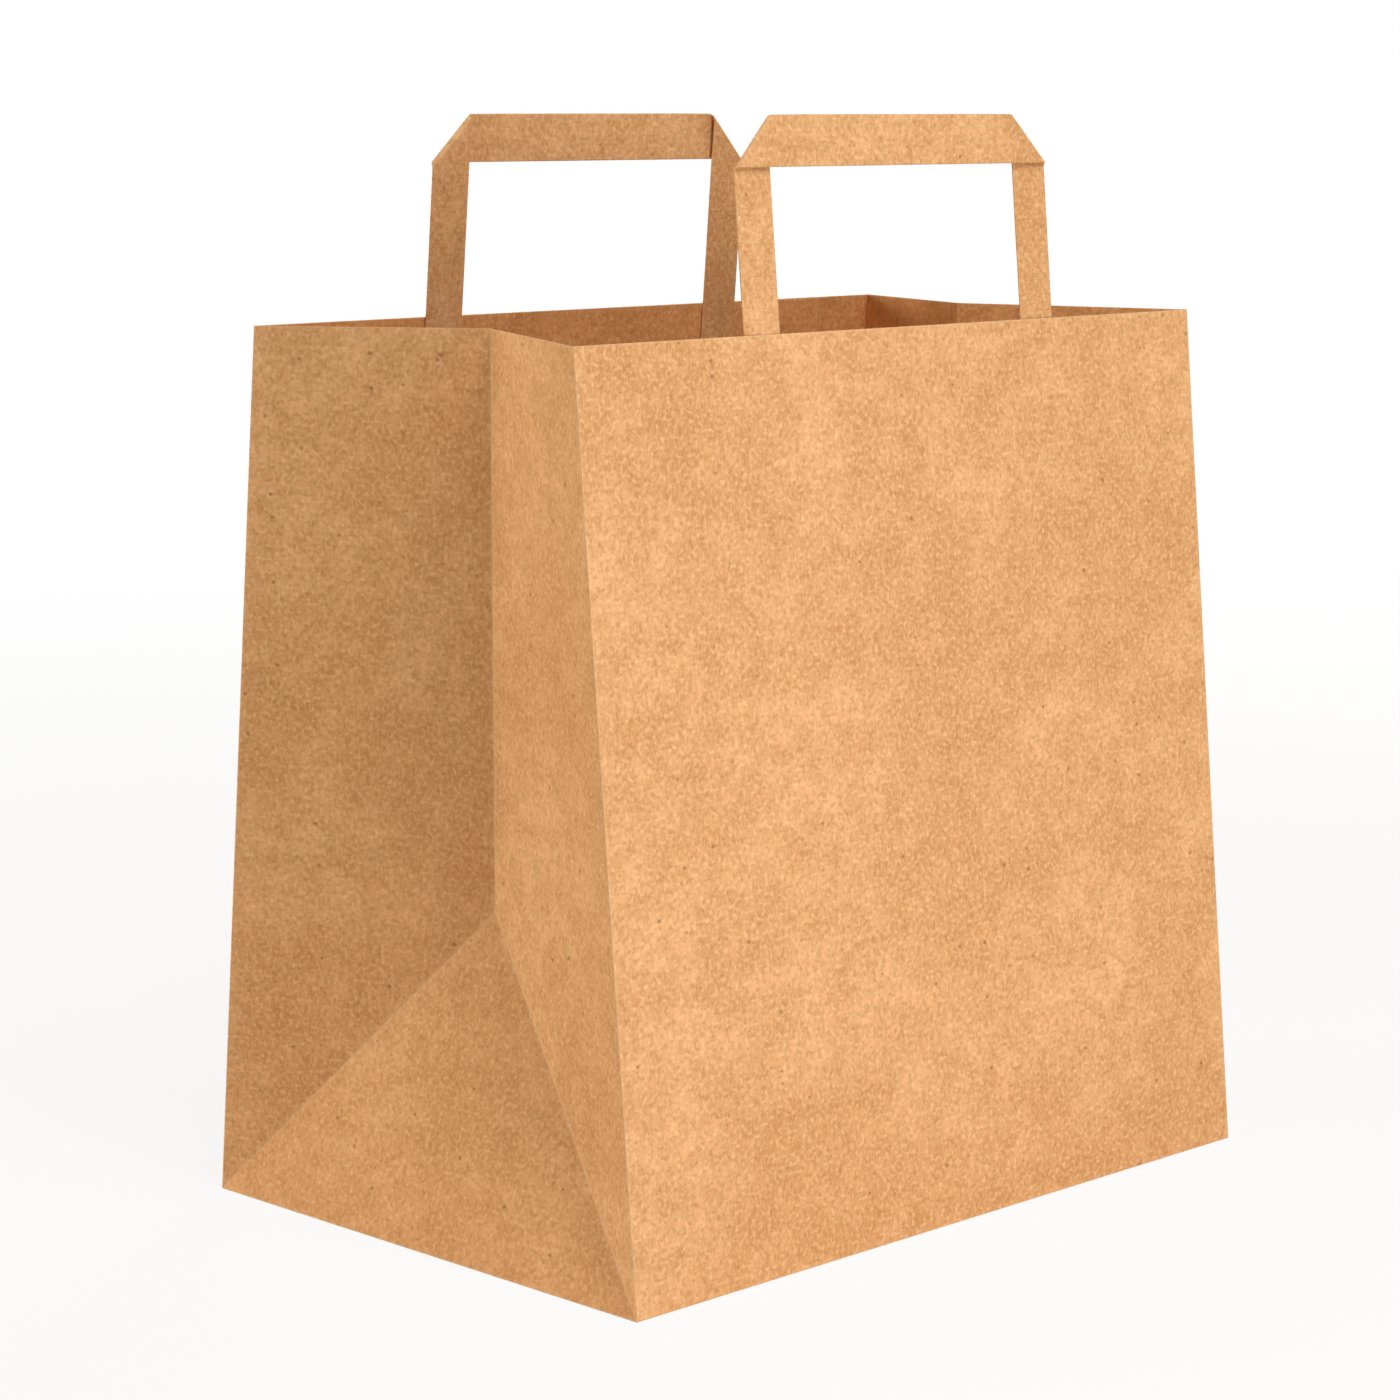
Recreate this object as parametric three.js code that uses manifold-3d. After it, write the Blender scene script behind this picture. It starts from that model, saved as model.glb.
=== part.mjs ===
// A flat-bottomed kraft paper carrier bag with folded flat-tape handles.
// The bag itself is one sheet: a tube with side gussets, closed by a folded and glued bottom.
// Each handle is one folded tape, glued inside a panel under a paper patch.
// Millimetres, +Z up, origin on the floor at the centre of the base, front panel towards -Y.
import * as THREE from "three";
import { mergeVertices } from "three/addons/utils/BufferGeometryUtils.js";
import Module from "manifold-3d";

const wasm = await Module();
wasm.setup();

// The sheet
const bagWidth = 260; // front and back panels, side to side
const baseDepth = 180; // base, front to back
const mouthDepth = 134; // rim, front to back, with the gussets partly folded in
const panelLength = 261; // a panel from its bottom fold to the rim, along the paper
const gussetInset = 31; // a gusset's centre crease, in from the side of the bag
const diagonalAngle = 47.7; // degrees between a gusset's diagonal crease and the bottom fold
const creaseRise = 0.7; // the rim stands this much higher at a centre crease than at a corner
const paper = 0.14; // thickness of 100 g/m2 kraft paper

// The glued seam that closes the tube, inside the back panel
const seamInset = 25; // the seam's edge, in from the right side of the bag
const seamOverlap = 18;

// The folded bottom
const tabOverlap = 20; // the front tab over the back tab, along the middle of the base
const tabRamp = 3; // run over which the front tab climbs onto the back tab

// The handles
const tapeWidth = 14.3;
const tapePlies = 4; // layers of the same paper, folded and glued into one tape
const handleWidth = 131; // outside of one leg to outside of the other
const handleRise = 60; // rim to the top of the grip, along the panel
const legBelowRim = 60; // glued end of a leg, inside the panel
const foldGap = 0.16; // air between the two layers of tape in a corner fold

// The patches that hold the glued ends
const patchBesideLeg = 12; // the patch reaches this far past the outside of a leg
const patchHeight = 50;
const patchBelowLeg = 3; // the patch reaches this far past the end of a leg
const patchSlope = 3; // run over which the patch climbs from the panel onto a leg

const glueGap = 0.3; // between pieces that are glued together

// What follows from those sizes
const lean = Math.asin((baseDepth - mouthDepth) / 2 / panelLength);
const rimHeight = panelLength * Math.cos(lean);
const diagonalRise = (baseDepth / 2) * Math.tan(THREE.MathUtils.degToRad(diagonalAngle));
const apexHeight = Math.sqrt(diagonalRise ** 2 - gussetInset ** 2);
const tabReach = (baseDepth + tabOverlap) / 2;
const tapeThickness = tapePlies * paper;
const patchWidth = handleWidth + 2 * patchBesideLeg;

// Grid steps across a gusset half, which is slightly twisted, and up every wall
const acrossSteps = 4;
const upSteps = 8;
const foldSides = 12; // sides of the round along a tape's corner fold

const samePoint = 1e-3;

const kraft = new THREE.MeshStandardMaterial({ color: 0xe3ab74, roughness: 0.85, metalness: 0 });
const kraftTape = new THREE.MeshStandardMaterial({ color: 0xdfa66e, roughness: 0.85, metalness: 0 });
const kraftPatch = new THREE.MeshStandardMaterial({ color: 0xd9a06a, roughness: 0.9, metalness: 0 });

// A closed geometry as a solid that can be joined and cut
function solidOf(geometry) {
  const bare = new THREE.BufferGeometry();
  bare.setAttribute("position", geometry.getAttribute("position"));
  bare.setIndex(geometry.index);
  const merged = mergeVertices(bare, samePoint);
  return new wasm.Manifold(
    new wasm.Mesh({
      numProp: 3,
      vertProperties: new Float32Array(merged.attributes.position.array),
      triVerts: new Uint32Array(merged.index.array),
    }),
  );
}

function geometryOf(solid) {
  const mesh = solid.getMesh();
  const geometry = new THREE.BufferGeometry();
  geometry.setAttribute("position", new THREE.BufferAttribute(mesh.vertProperties, mesh.numProp));
  geometry.setIndex(new THREE.BufferAttribute(mesh.triVerts, 1));
  geometry.computeVertexNormals();
  return geometry;
}

function joined(solids) {
  return solids.reduce((whole, next) => whole.add(next));
}

function piece(name, geometry, material) {
  const mesh = new THREE.Mesh(geometry, material);
  mesh.name = name;
  return mesh;
}

// A flat outline, given as [x, y] corners, with a thickness upwards from a level
function slab(corners, level, thickness) {
  const outline = new THREE.Shape(corners.map(([x, y]) => new THREE.Vector2(x, y)));
  const geometry = new THREE.ExtrudeGeometry(outline, { depth: thickness, bevelEnabled: false });
  return solidOf(geometry.translate(0, 0, level));
}

// A profile, given as [across, up] corners, drawn out along a direction from its own origin
function bar(profile, length, across, up) {
  const outline = new THREE.Shape(profile.map(([u, v]) => new THREE.Vector2(u, v)));
  const along = across.clone().cross(up);
  return new THREE.ExtrudeGeometry(outline, { depth: length, bevelEnabled: false }).applyMatrix4(
    new THREE.Matrix4().makeBasis(across, up, along),
  );
}

const evenSteps = (count) => Array.from({ length: count + 1 }, (_, step) => step / count);

// Triangles over a surface between four corners, named anticlockwise as seen from outside
function facesBetween([lowStart, lowEnd, highEnd, highStart], columns) {
  const at = (across, up) => {
    const bottom = lowStart.clone().lerp(lowEnd, across);
    const top = highStart.clone().lerp(highEnd, across);
    return bottom.lerp(top, up);
  };
  const across = evenSteps(columns);
  const up = evenSteps(upSteps);
  const faces = [];
  for (let row = 1; row < up.length; row++) {
    for (let column = 1; column < across.length; column++) {
      const lowLeft = at(across[column - 1], up[row - 1]);
      const lowRight = at(across[column], up[row - 1]);
      const highRight = at(across[column], up[row]);
      const highLeft = at(across[column - 1], up[row]);
      faces.push([lowLeft, lowRight, highRight], [lowLeft, highRight, highLeft]);
    }
  }
  return faces;
}

// Moves a point so that each face around it moves inwards by the same distance.
// A point on the floor stays on the floor.
function movedInwards({ point, normals }, distance) {
  const onFloor = Math.abs(point.z) < samePoint;
  const planes = normals.map((normal) => ({ normal, shift: -distance }));
  if (onFloor) planes.push({ normal: new THREE.Vector3(0, 0, 1), shift: 0 });
  const sums = new Array(9).fill(0);
  const pull = new THREE.Vector3();
  for (const { normal, shift } of planes) {
    const n = normal.toArray();
    sums.forEach((_, i) => (sums[i] += n[Math.floor(i / 3)] * n[i % 3]));
    pull.addScaledVector(normal, shift);
  }
  // A trace on the diagonal keeps the sums solvable where all the faces lie in one plane
  const trace = 1e-5;
  [0, 4, 8].forEach((i) => (sums[i] += trace));
  return point.clone().add(pull.applyMatrix3(new THREE.Matrix3().set(...sums).invert()));
}

// A folded surface of triangles, facing outwards, given the thickness of the paper
function paperSolid(faces) {
  const corners = new Map();
  const keyOf = (point) => point.toArray().map((value) => Math.round(value / samePoint)).join();
  for (const face of faces) {
    const normal = new THREE.Triangle(...face).getNormal(new THREE.Vector3());
    for (const point of face) {
      const key = keyOf(point);
      if (!corners.has(key)) corners.set(key, { point, normals: [], index: corners.size });
      corners.get(key).normals.push(normal);
    }
  }
  const all = [...corners.values()];
  const skins = [...all.map(({ point }) => point), ...all.map((corner) => movedInwards(corner, paper))];
  const triangles = faces.map((face) => face.map((point) => corners.get(keyOf(point)).index));
  const inner = (index) => index + all.length;
  const indices = triangles.flatMap(([a, b, c]) => [a, b, c, inner(c), inner(b), inner(a)]);
  // An edge that only one face has is a cut edge of the paper
  const edges = new Set(triangles.flatMap(([a, b, c]) => [`${a},${b}`, `${b},${c}`, `${c},${a}`]));
  for (const edge of edges) {
    const [a, b] = edge.split(",").map(Number);
    if (!edges.has(`${b},${a}`)) indices.push(b, a, inner(a), b, inner(a), inner(b));
  }
  const geometry = new THREE.BufferGeometry();
  const positions = skins.flatMap((point) => point.toArray());
  geometry.setAttribute("position", new THREE.Float32BufferAttribute(positions, 3));
  geometry.setIndex(indices);
  return solidOf(geometry);
}

// Fold points. side is -1 on the left and 1 on the right; end is -1 at the front and 1 at the back.
const baseCorner = (side, end) => new THREE.Vector3((side * bagWidth) / 2, (end * baseDepth) / 2, 0);
const rimCorner = (side, end) =>
  new THREE.Vector3((side * bagWidth) / 2, (end * mouthDepth) / 2, rimHeight);
const apex = (side) => new THREE.Vector3(side * (bagWidth / 2 - gussetInset), 0, apexHeight);
const creaseTop = (side) =>
  new THREE.Vector3(side * (bagWidth / 2 - gussetInset), 0, rimHeight + creaseRise);

function panelFaces(end) {
  return facesBetween(
    [baseCorner(end, end), baseCorner(-end, end), rimCorner(-end, end), rimCorner(end, end)],
    1,
  );
}

// The half of a gusset between the corner at one end and the centre crease
function gussetHalfFaces(side, end) {
  const outer = [baseCorner(side, end), rimCorner(side, end)];
  const inner = [apex(side), creaseTop(side)];
  const [start, stop] = side * end < 0 ? [outer, inner] : [inner, outer];
  return facesBetween([start[0], stop[0], stop[1], start[1]], acrossSteps);
}

// The flat triangle at the foot of a gusset, as a fan from the middle of its bottom fold
function gussetFootFaces(side) {
  const middle = new THREE.Vector3((side * bagWidth) / 2, 0, 0);
  const diagonal = (end) =>
    evenSteps(acrossSteps).map((share) => baseCorner(side, end).lerp(apex(side), share));
  const outline = [...diagonal(-side), ...diagonal(side).reverse().slice(1)];
  return outline.slice(1).map((point, i) => [middle, point, outline[i]]);
}

function tube() {
  return paperSolid(
    [-1, 1].flatMap((side) => [
      ...panelFaces(side),
      ...gussetFootFaces(side),
      ...gussetHalfFaces(side, -1),
      ...gussetHalfFaces(side, 1),
    ]),
  );
}

// The bottom has two tabs outside, then four folded corners, then two side flaps inside.
// Each layer ends inside the leaning walls, halfway through the paper.
function bottomReach(level) {
  const sideSlope = gussetInset / apexHeight;
  return {
    x: bagWidth / 2 - paper / 2 - level * sideSlope,
    y: baseDepth / 2 - paper / 2 - level * Math.tan(lean),
  };
}

function tabOutline(end) {
  const { x, y } = bottomReach(0);
  const outline = [
    [-x, -y],
    [x, -y],
    [x - tabReach, tabReach - y],
    [tabReach - x, tabReach - y],
  ];
  return outline.map(([u, v]) => [-end * u, -end * v]);
}

// The front tab runs flat, then climbs onto the back tab
function frontTab() {
  const { y } = bottomReach(0);
  const backEdge = y - tabReach;
  const climbStart = backEdge - tabRamp;
  const profile = [
    [-y, 0],
    [climbStart, 0],
    [backEdge, paper],
    [tabReach - y, paper],
    [tabReach - y, 2 * paper],
    [backEdge, 2 * paper],
    [climbStart, paper],
    [-y, paper],
  ];
  const strip = bar(profile, bagWidth, new THREE.Vector3(0, 1, 0), new THREE.Vector3(0, 0, 1));
  const cutter = slab(tabOutline(-1), -paper, 4 * paper);
  return solidOf(strip.translate(-bagWidth / 2, 0, 0)).intersect(cutter);
}

function foldedCorner(side, end) {
  const { x, y } = bottomReach(paper);
  const outline = [
    [x, y],
    [x - tabReach, y],
    [x - tabReach, y - tabReach],
  ].map(([u, v]) => [side * u, end * v]);
  return slab(outline, paper, paper);
}

function sideFlap(side) {
  const { x, y } = bottomReach(2 * paper);
  const outline = [
    [x, -y],
    [x, y],
    [x - tabReach, y],
    [x - tabReach, -y],
  ].map(([u, v]) => [side * u, v]);
  return slab(outline, 2 * paper, paper);
}

function foldedBottom() {
  const sides = [-1, 1].flatMap((side) => [
    sideFlap(side),
    foldedCorner(side, -1),
    foldedCorner(side, 1),
  ]);
  return joined([...sides, frontTab(), slab(tabOutline(1), 0, paper)]);
}

// Turns and moves what is drawn on a panel: X across, Y up from the rim, Z in from the outer face
function panelFrame(end) {
  const frame = new THREE.Matrix4()
    .makeBasis(
      new THREE.Vector3(-1, 0, 0),
      new THREE.Vector3(0, Math.sin(lean), Math.cos(lean)),
      new THREE.Vector3(0, Math.cos(lean), -Math.sin(lean)),
    )
    .setPosition(0, -mouthDepth / 2, rimHeight);
  return end > 0 ? frame.premultiply(new THREE.Matrix4().makeRotationZ(Math.PI)) : frame;
}

// The hidden layer of the tube's seam, half sunk into the panel that it is glued to
function seam() {
  const right = bagWidth / 2 - seamInset;
  const strip = new THREE.BoxGeometry(seamOverlap, panelLength - 2 * paper, 1.5 * paper);
  strip.translate(right - seamOverlap / 2, -panelLength / 2, 1.25 * paper);
  return solidOf(strip.applyMatrix4(panelFrame(1)));
}

function bagBody() {
  return piece("bag_body", geometryOf(joined([tube(), seam(), foldedBottom()])), kraft);
}

// On a panel, the legs lie against its inside, and the grip is folded over in front of them
const legLevel = paper + glueGap;
const gripLevel = legLevel - foldGap - tapeThickness;
const legOutside = handleWidth / 2;
const legInside = legOutside - tapeWidth;
const gripBottom = handleRise - tapeWidth;

function leg(side) {
  const outline = [
    [legOutside, -legBelowRim],
    [legOutside, gripBottom],
    [legInside, handleRise],
    [legInside, -legBelowRim],
  ].map(([x, y]) => [side * x, y]);
  return slab(outline, legLevel, tapeThickness);
}

function grip() {
  const outline = [
    [-legOutside, gripBottom],
    [legOutside, gripBottom],
    [legInside, handleRise],
    [-legInside, handleRise],
  ];
  return slab(outline, gripLevel, tapeThickness);
}

// The round of a corner fold, along the diagonal where a leg turns into the grip
function cornerFold(side) {
  const radius = tapeThickness + foldGap / 2;
  const level = legLevel - foldGap / 2;
  const low = new THREE.Vector3(side * legOutside, gripBottom, level);
  const high = new THREE.Vector3(side * legInside, handleRise, level);
  const along = high.clone().sub(low);
  const turn = new THREE.Quaternion().setFromUnitVectors(
    new THREE.Vector3(0, 1, 0),
    along.clone().normalize(),
  );
  const middle = low.clone().lerp(high, 0.5);
  const round = new THREE.CylinderGeometry(radius, radius, along.length(), foldSides)
    .applyQuaternion(turn)
    .translate(middle.x, middle.y, middle.z);
  const reach = [
    [0, gripBottom],
    [legOutside, gripBottom],
    [legOutside, handleRise],
    [0, handleRise],
  ].map(([x, y]) => [side * x, y]);
  return solidOf(round).intersect(slab(reach, level - 2 * radius, 4 * radius));
}

function handle() {
  return geometryOf(joined([leg(-1), leg(1), grip(), cornerFold(-1), cornerFold(1)]));
}

// The patch runs along the panel and climbs over each leg
function patch() {
  const onPanel = legLevel;
  const onLeg = legLevel + tapeThickness + glueGap;
  const rightHalf = [
    [legInside - glueGap - patchSlope, onPanel],
    [legInside - glueGap, onLeg],
    [legOutside + glueGap, onLeg],
    [legOutside + glueGap + patchSlope, onPanel],
    [patchWidth / 2, onPanel],
  ];
  const leftHalf = rightHalf.map(([x, z]) => [-x, z]).reverse();
  const under = [...leftHalf, ...rightHalf];
  const over = under.map(([x, z]) => [x, z + paper]).reverse();
  const profile = [...under, ...over];
  const strip = bar(profile, patchHeight, new THREE.Vector3(1, 0, 0), new THREE.Vector3(0, 0, 1));
  return strip.translate(0, patchHeight - legBelowRim - patchBelowLeg, 0);
}

// A handle and its patch, in a group that leans with their panel
function handleSet(name, end) {
  const group = new THREE.Group().add(
    piece(`${name}_handle`, handle(), kraftTape),
    piece(`${name}_handle_patch`, patch(), kraftPatch),
  );
  group.applyMatrix4(panelFrame(end));
  return group;
}

const bag = new THREE.Group();
bag.name = "paper_carrier_bag";
bag.add(bagBody(), handleSet("front", -1), handleSet("back", 1));

export default bag;
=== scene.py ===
import math

import bpy
import numpy as np
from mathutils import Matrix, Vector


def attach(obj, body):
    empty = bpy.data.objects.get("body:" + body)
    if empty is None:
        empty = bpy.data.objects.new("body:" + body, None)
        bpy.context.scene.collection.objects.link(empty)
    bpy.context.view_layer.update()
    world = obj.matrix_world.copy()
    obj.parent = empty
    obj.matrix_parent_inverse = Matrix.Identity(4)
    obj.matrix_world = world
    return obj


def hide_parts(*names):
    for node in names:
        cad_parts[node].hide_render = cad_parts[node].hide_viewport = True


# A brown kraft paper carrier bag, built in millimetres and scaled to metres when a mesh is made.
# Every piece is paper: one folded sheet, two folded tapes and the two strips glued over their ends.

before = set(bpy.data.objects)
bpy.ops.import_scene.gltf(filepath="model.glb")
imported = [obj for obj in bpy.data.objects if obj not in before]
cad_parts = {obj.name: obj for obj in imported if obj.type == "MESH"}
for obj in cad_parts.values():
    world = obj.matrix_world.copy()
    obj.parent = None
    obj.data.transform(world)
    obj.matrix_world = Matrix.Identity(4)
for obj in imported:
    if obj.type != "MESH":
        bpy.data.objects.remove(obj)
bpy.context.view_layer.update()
mm = 0.001
print("frame: the packed bag is loaded")


def linear(hexCode, tint=(1.0, 1.0, 1.0)):
    channels = [int(hexCode[i:i + 2], 16) / 255 for i in (1, 3, 5)]
    channels = [c / 12.92 if c <= 0.04045 else ((c + 0.055) / 1.055) ** 2.4 for c in channels]
    return (*[c * t for c, t in zip(channels, tint)], 1.0)


def addNode(tree, kind, inputs=None, **settings):
    node = tree.nodes.new(kind)
    for name, value in settings.items():
        setattr(node, name, value)
    for name, value in (inputs or {}).items():
        if isinstance(value, bpy.types.NodeSocket):
            tree.links.new(value, node.inputs[name])
        else:
            node.inputs[name].default_value = value
    return node


def smoothStep(distance, reach):
    t = np.clip(np.asarray(distance, float) / reach, 0, 1)
    return t * t * (3 - 2 * t)


def lineDistance(points, start, end):
    start, end = np.asarray(start, float), np.asarray(end, float)
    along = (end - start) / np.linalg.norm(end - start)
    offset = points - start
    return np.linalg.norm(offset - (offset @ along)[..., None] * along, axis=-1)


bagShape = {
    "width": 260.0,
    "baseDepth": 180.0,
    "mouthDepth": 134.0,
    "panelLength": 261.0,  # from the bottom fold to the rim, along the paper
    "gussetInset": 31.0,  # the centre crease of a gusset, in from the side
    "diagonalAngle": 47.7,  # between a gusset's diagonal crease and the bottom fold
    "creaseRise": 0.7,  # the rim stands higher at a centre crease
    "paper": 0.14,
    "cell": 3.4,  # grid size of the mesh away from the folds
    "gussetRun": 104.0,  # the length that a gusset's rows and columns are worked out for
    "foldRows": (0.28, 0.7, 1.7),  # closer rows beside every fold and cut edge
    "tabReach": 100.0,  # how far the bottom's tabs and flaps come in
    "tabClimb": 3.0,  # over which the front tab climbs onto the back one
    "flapClimb": 1.6,  # over which a flap climbs onto the tabs
    "flapInset": 0.1,  # keeps the sides of a flap off the panels
    "tabLevel": 0.15,  # one layer of the bottom above the one below it
    "cornerReach": 74.0,  # the sides of the corners folded in under the tabs
    "cornerInset": 2.5,
    "cornerRows": 9,
    "seamEdge": 25.0,  # the outer edge of the tube's seam, in from the right side
    "seamOverlap": 18.0,
    "seamStep": 0.2,  # how far the paper drops at the seam's outer edge
    "seamRun": 8.0,  # over which it comes back up
    "seamRows": (-1.2, -0.4, 0.0, 0.06, 0.6, 1.6, 3.0),  # rows of points beside that edge
    "seamSplit": 0.03,  # the row at 0 stays up and the one at 0.06 drops
    "seamCell": 4.0,
    "seamTuck": 4.0,  # how far the hidden layer runs on inside the panel's own paper
    "seamRise": 0.8,  # the hidden layer begins above the bottom fold
    "seamShort": 1.2,  # and is this much shorter than the panel
    "slackReach": 45.0,  # the paper is held flat by its folds over this distance
    "rimSlack": 0.5,  # share of the slack left where the handles are glued
    "rimHold": (120.0, 70.0),  # how far up the handles begin to hold a panel, and over what run
    # Shallow bows of a panel: which end, where across and up its middle is, how far it reaches, its height
    "panelBows": ((-1, 84.0, 135.0, 88.0, -1.1), (-1, -70.0, 105.0, 80.0, 0.8), (1, -60.0, 120.0, 85.0, 0.9)),
    "gussetBow": -1.3,  # each half of a gusset draws in between its folds
    "gussetBowReach": 34.0,
    "gussetBowFade": 0.55,  # share of the height above which the bow dies away
}
wearReach = {"fold": 0.35, "cut": 0.25, "seam": 0.5, "tab": 0.6}  # how far an edge's raised fibres reach
onFold = 1e-3  # a point this near a fold lies on it
clearOf = 0.01  # keeps layers of paper that touch from sharing a face
patchSpacing = (310.0, 270.0)  # between the flat stretches of paper on the paper's own UV map
waveSpacing = 300.0  # keeps the waves of the two panels apart
halfWidth = bagShape["width"] / 2
lean = math.asin((bagShape["baseDepth"] - bagShape["mouthDepth"]) / 2 / bagShape["panelLength"])
rimHeight = bagShape["panelLength"] * math.cos(lean)
creaseX = halfWidth - bagShape["gussetInset"]
diagonalRise = bagShape["baseDepth"] / 2 * math.tan(math.radians(bagShape["diagonalAngle"]))
apexHeight = math.sqrt(diagonalRise ** 2 - bagShape["gussetInset"] ** 2)


def baseCorner(side, end):
    return np.array([side * halfWidth, end * bagShape["baseDepth"] / 2, 0.0])


def rimCorner(side, end):
    return np.array([side * halfWidth, end * bagShape["mouthDepth"] / 2, rimHeight])


def apexOf(side):
    return np.array([side * creaseX, 0.0, apexHeight])


def creaseTop(side):
    return np.array([side * creaseX, 0.0, rimHeight + bagShape["creaseRise"]])


# x across, up from the rim along the paper, inward from the outer face
def panelPoints(end, x, up, inward):
    x, up, inward = np.broadcast_arrays(x, up, inward)
    y = end * (bagShape["mouthDepth"] / 2 - up * math.sin(lean) - inward * math.cos(lean))
    z = rimHeight + up * math.cos(lean) - inward * math.sin(lean)
    return np.stack([x, y, z], axis=-1)


def panelOutward(end):
    return np.array([0.0, end * math.cos(lean), math.sin(lean)])


# Two points of a line that runs straight down a panel
def lineDown(end, x, inward):
    return panelPoints(end, x, 0, inward), panelPoints(end, x, -200, inward)


# Shares of a length: even steps in the middle and closer ones at both ends
def gridSteps(length, cell, extra=()):
    rows = np.array(bagShape["foldRows"])
    inner = np.linspace(rows[-1], length - rows[-1], max(2, round(length / cell)))
    steps = np.concatenate([[0], rows, inner, length - rows, [length], extra])
    steps = np.unique(np.round(steps, 4))
    return steps / length


# Rows of points between four corners, named anticlockwise as seen from outside
def spread(corners, across, up):
    lowStart, lowEnd, highEnd, highStart = (np.asarray(c, float) for c in corners)
    a = across[None, :, None]
    low = lowStart + (lowEnd - lowStart) * a
    high = highStart + (highEnd - highStart) * a
    return low + (high - low) * up[:, None, None]


# Share of a panel's slack that its glued handle leaves, by the height along the paper
def heldByHandles(along):
    start, run = bagShape["rimHold"]
    return 1 - (1 - bagShape["rimSlack"]) * smoothStep(along - start, run)


# Keeps one flat stretch of paper until the whole sheet is joined. A cut is its two ends and its kind of wear
def addPatch(parts, points, acrossAxis, folds=(), cuts=(), slack=None, place=None, way=None):
    rows, columns = points.shape[:2]
    normal = np.cross(points[0, -1] - points[0, 0], points[-1, 0] - points[0, 0])
    normal /= np.linalg.norm(normal)
    axis = np.asarray(acrossAxis, float)
    upAxis = np.cross(normal, axis)
    foldDistance = np.min([lineDistance(points, *f) for f in folds], axis=0) if folds else None
    wear = np.zeros((rows, columns))
    folded = np.zeros((rows, columns))
    if folds:
        wear = np.exp(-foldDistance / wearReach["fold"])
        folded = (foldDistance < onFold).astype(float)
    for start, stop, kind in cuts:
        wear = np.maximum(wear, np.exp(-lineDistance(points, start, stop) / wearReach[kind]))
    if slack is None:
        slack = smoothStep(foldDistance, bagShape["slackReach"]) if folds else np.zeros((rows, columns))
    flatPlace = np.stack([points @ axis, points @ upAxis], axis=-1)
    index = np.arange(rows * columns).reshape(rows, columns)
    faces = np.stack([index[:-1, :-1], index[:-1, 1:], index[1:, 1:], index[1:, :-1]], axis=-1)
    parts.append({
        "points": points.reshape(-1, 3),
        "uv": flatPlace.reshape(-1, 2) + np.array(patchSpacing) * len(parts),
        "slack": np.broadcast_to(slack, (rows, columns)).reshape(-1),
        "wear": wear.reshape(-1),
        "folded": folded.reshape(-1),
        "place": (points if place is None else place).reshape(-1, 3),
        "way": np.broadcast_to(normal if way is None else way, points.shape).reshape(-1, 3),
        "faces": faces.reshape(-1, 4),
    })


# Welds the patches, rounds the folds and makes the mesh with its attributes
def joinedSheet(name, parts):
    starts = np.cumsum([0] + [len(p["points"]) for p in parts[:-1]])
    stacked = {key: np.concatenate([p[key] for p in parts]) for key in parts[0] if key != "faces"}
    faces = np.concatenate([p["faces"] + s for p, s in zip(parts, starts)])
    _, first, welded = np.unique(
        np.round(stacked["points"], 3), axis=0, return_index=True, return_inverse=True
    )
    welded = welded.reshape(-1)
    count = len(first)
    points = stacked["points"][first]
    place = stacked["place"][first]
    slack = np.ones(count)
    wear, folded = np.zeros(count), np.zeros(count)
    way = np.zeros((count, 3))
    np.minimum.at(slack, welded, stacked["slack"])
    np.maximum.at(wear, welded, stacked["wear"])
    np.maximum.at(folded, welded, stacked["folded"])
    np.add.at(way, welded, stacked["way"])
    way /= np.maximum(np.linalg.norm(way, axis=1), 1e-9)[:, None]

    corners, loopSource = [], []
    for face in faces:
        kept = [i for k, i in enumerate(face) if welded[i] != welded[face[k - 1]]]
        corners.append([int(welded[i]) for i in kept])
        loopSource.extend(kept)

    # A fold is a soft round: its own points are drawn in towards the paper on either side
    sums, counts = np.zeros((count, 3)), np.zeros(count)
    for face in corners:
        for a, b in zip(face, face[1:] + face[:1]):
            for here, other in ((a, b), (b, a)):
                if folded[here] and not folded[other]:
                    sums[here] += points[other]
                    counts[here] += 1
    rounded = counts > 0
    points[rounded] += 0.5 * (sums[rounded] / counts[rounded][:, None] - points[rounded])

    mesh = bpy.data.meshes.new(name)
    mesh.from_pydata((points * mm).tolist(), [], corners)
    mesh.uv_layers.new(name="sheetUv").data.foreach_set(
        "uv", (stacked["uv"][loopSource] * mm).astype(np.float32).ravel()
    )
    for key, values in (("slack", slack), ("wear", wear)):
        mesh.attributes.new(key, "FLOAT", "POINT").data.foreach_set("value", values.astype(np.float32))
    for key, values in (("wavePlace", place * mm), ("waveWay", way)):
        attribute = mesh.attributes.new(key, "FLOAT_VECTOR", "POINT")
        attribute.data.foreach_set("vector", values.astype(np.float32).ravel())
    mesh.shade_smooth()
    mesh.update()
    piece = bpy.data.objects.new(name, mesh)
    bpy.context.scene.collection.objects.link(piece)
    return piece


# Where the waves of a panel are read, so that what is glued to it moves with it
def panelPlace(end, x, along):
    x, y, along = np.broadcast_arrays(x, end * waveSpacing, along)
    return np.stack([x, y, along], axis=-1)


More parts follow.
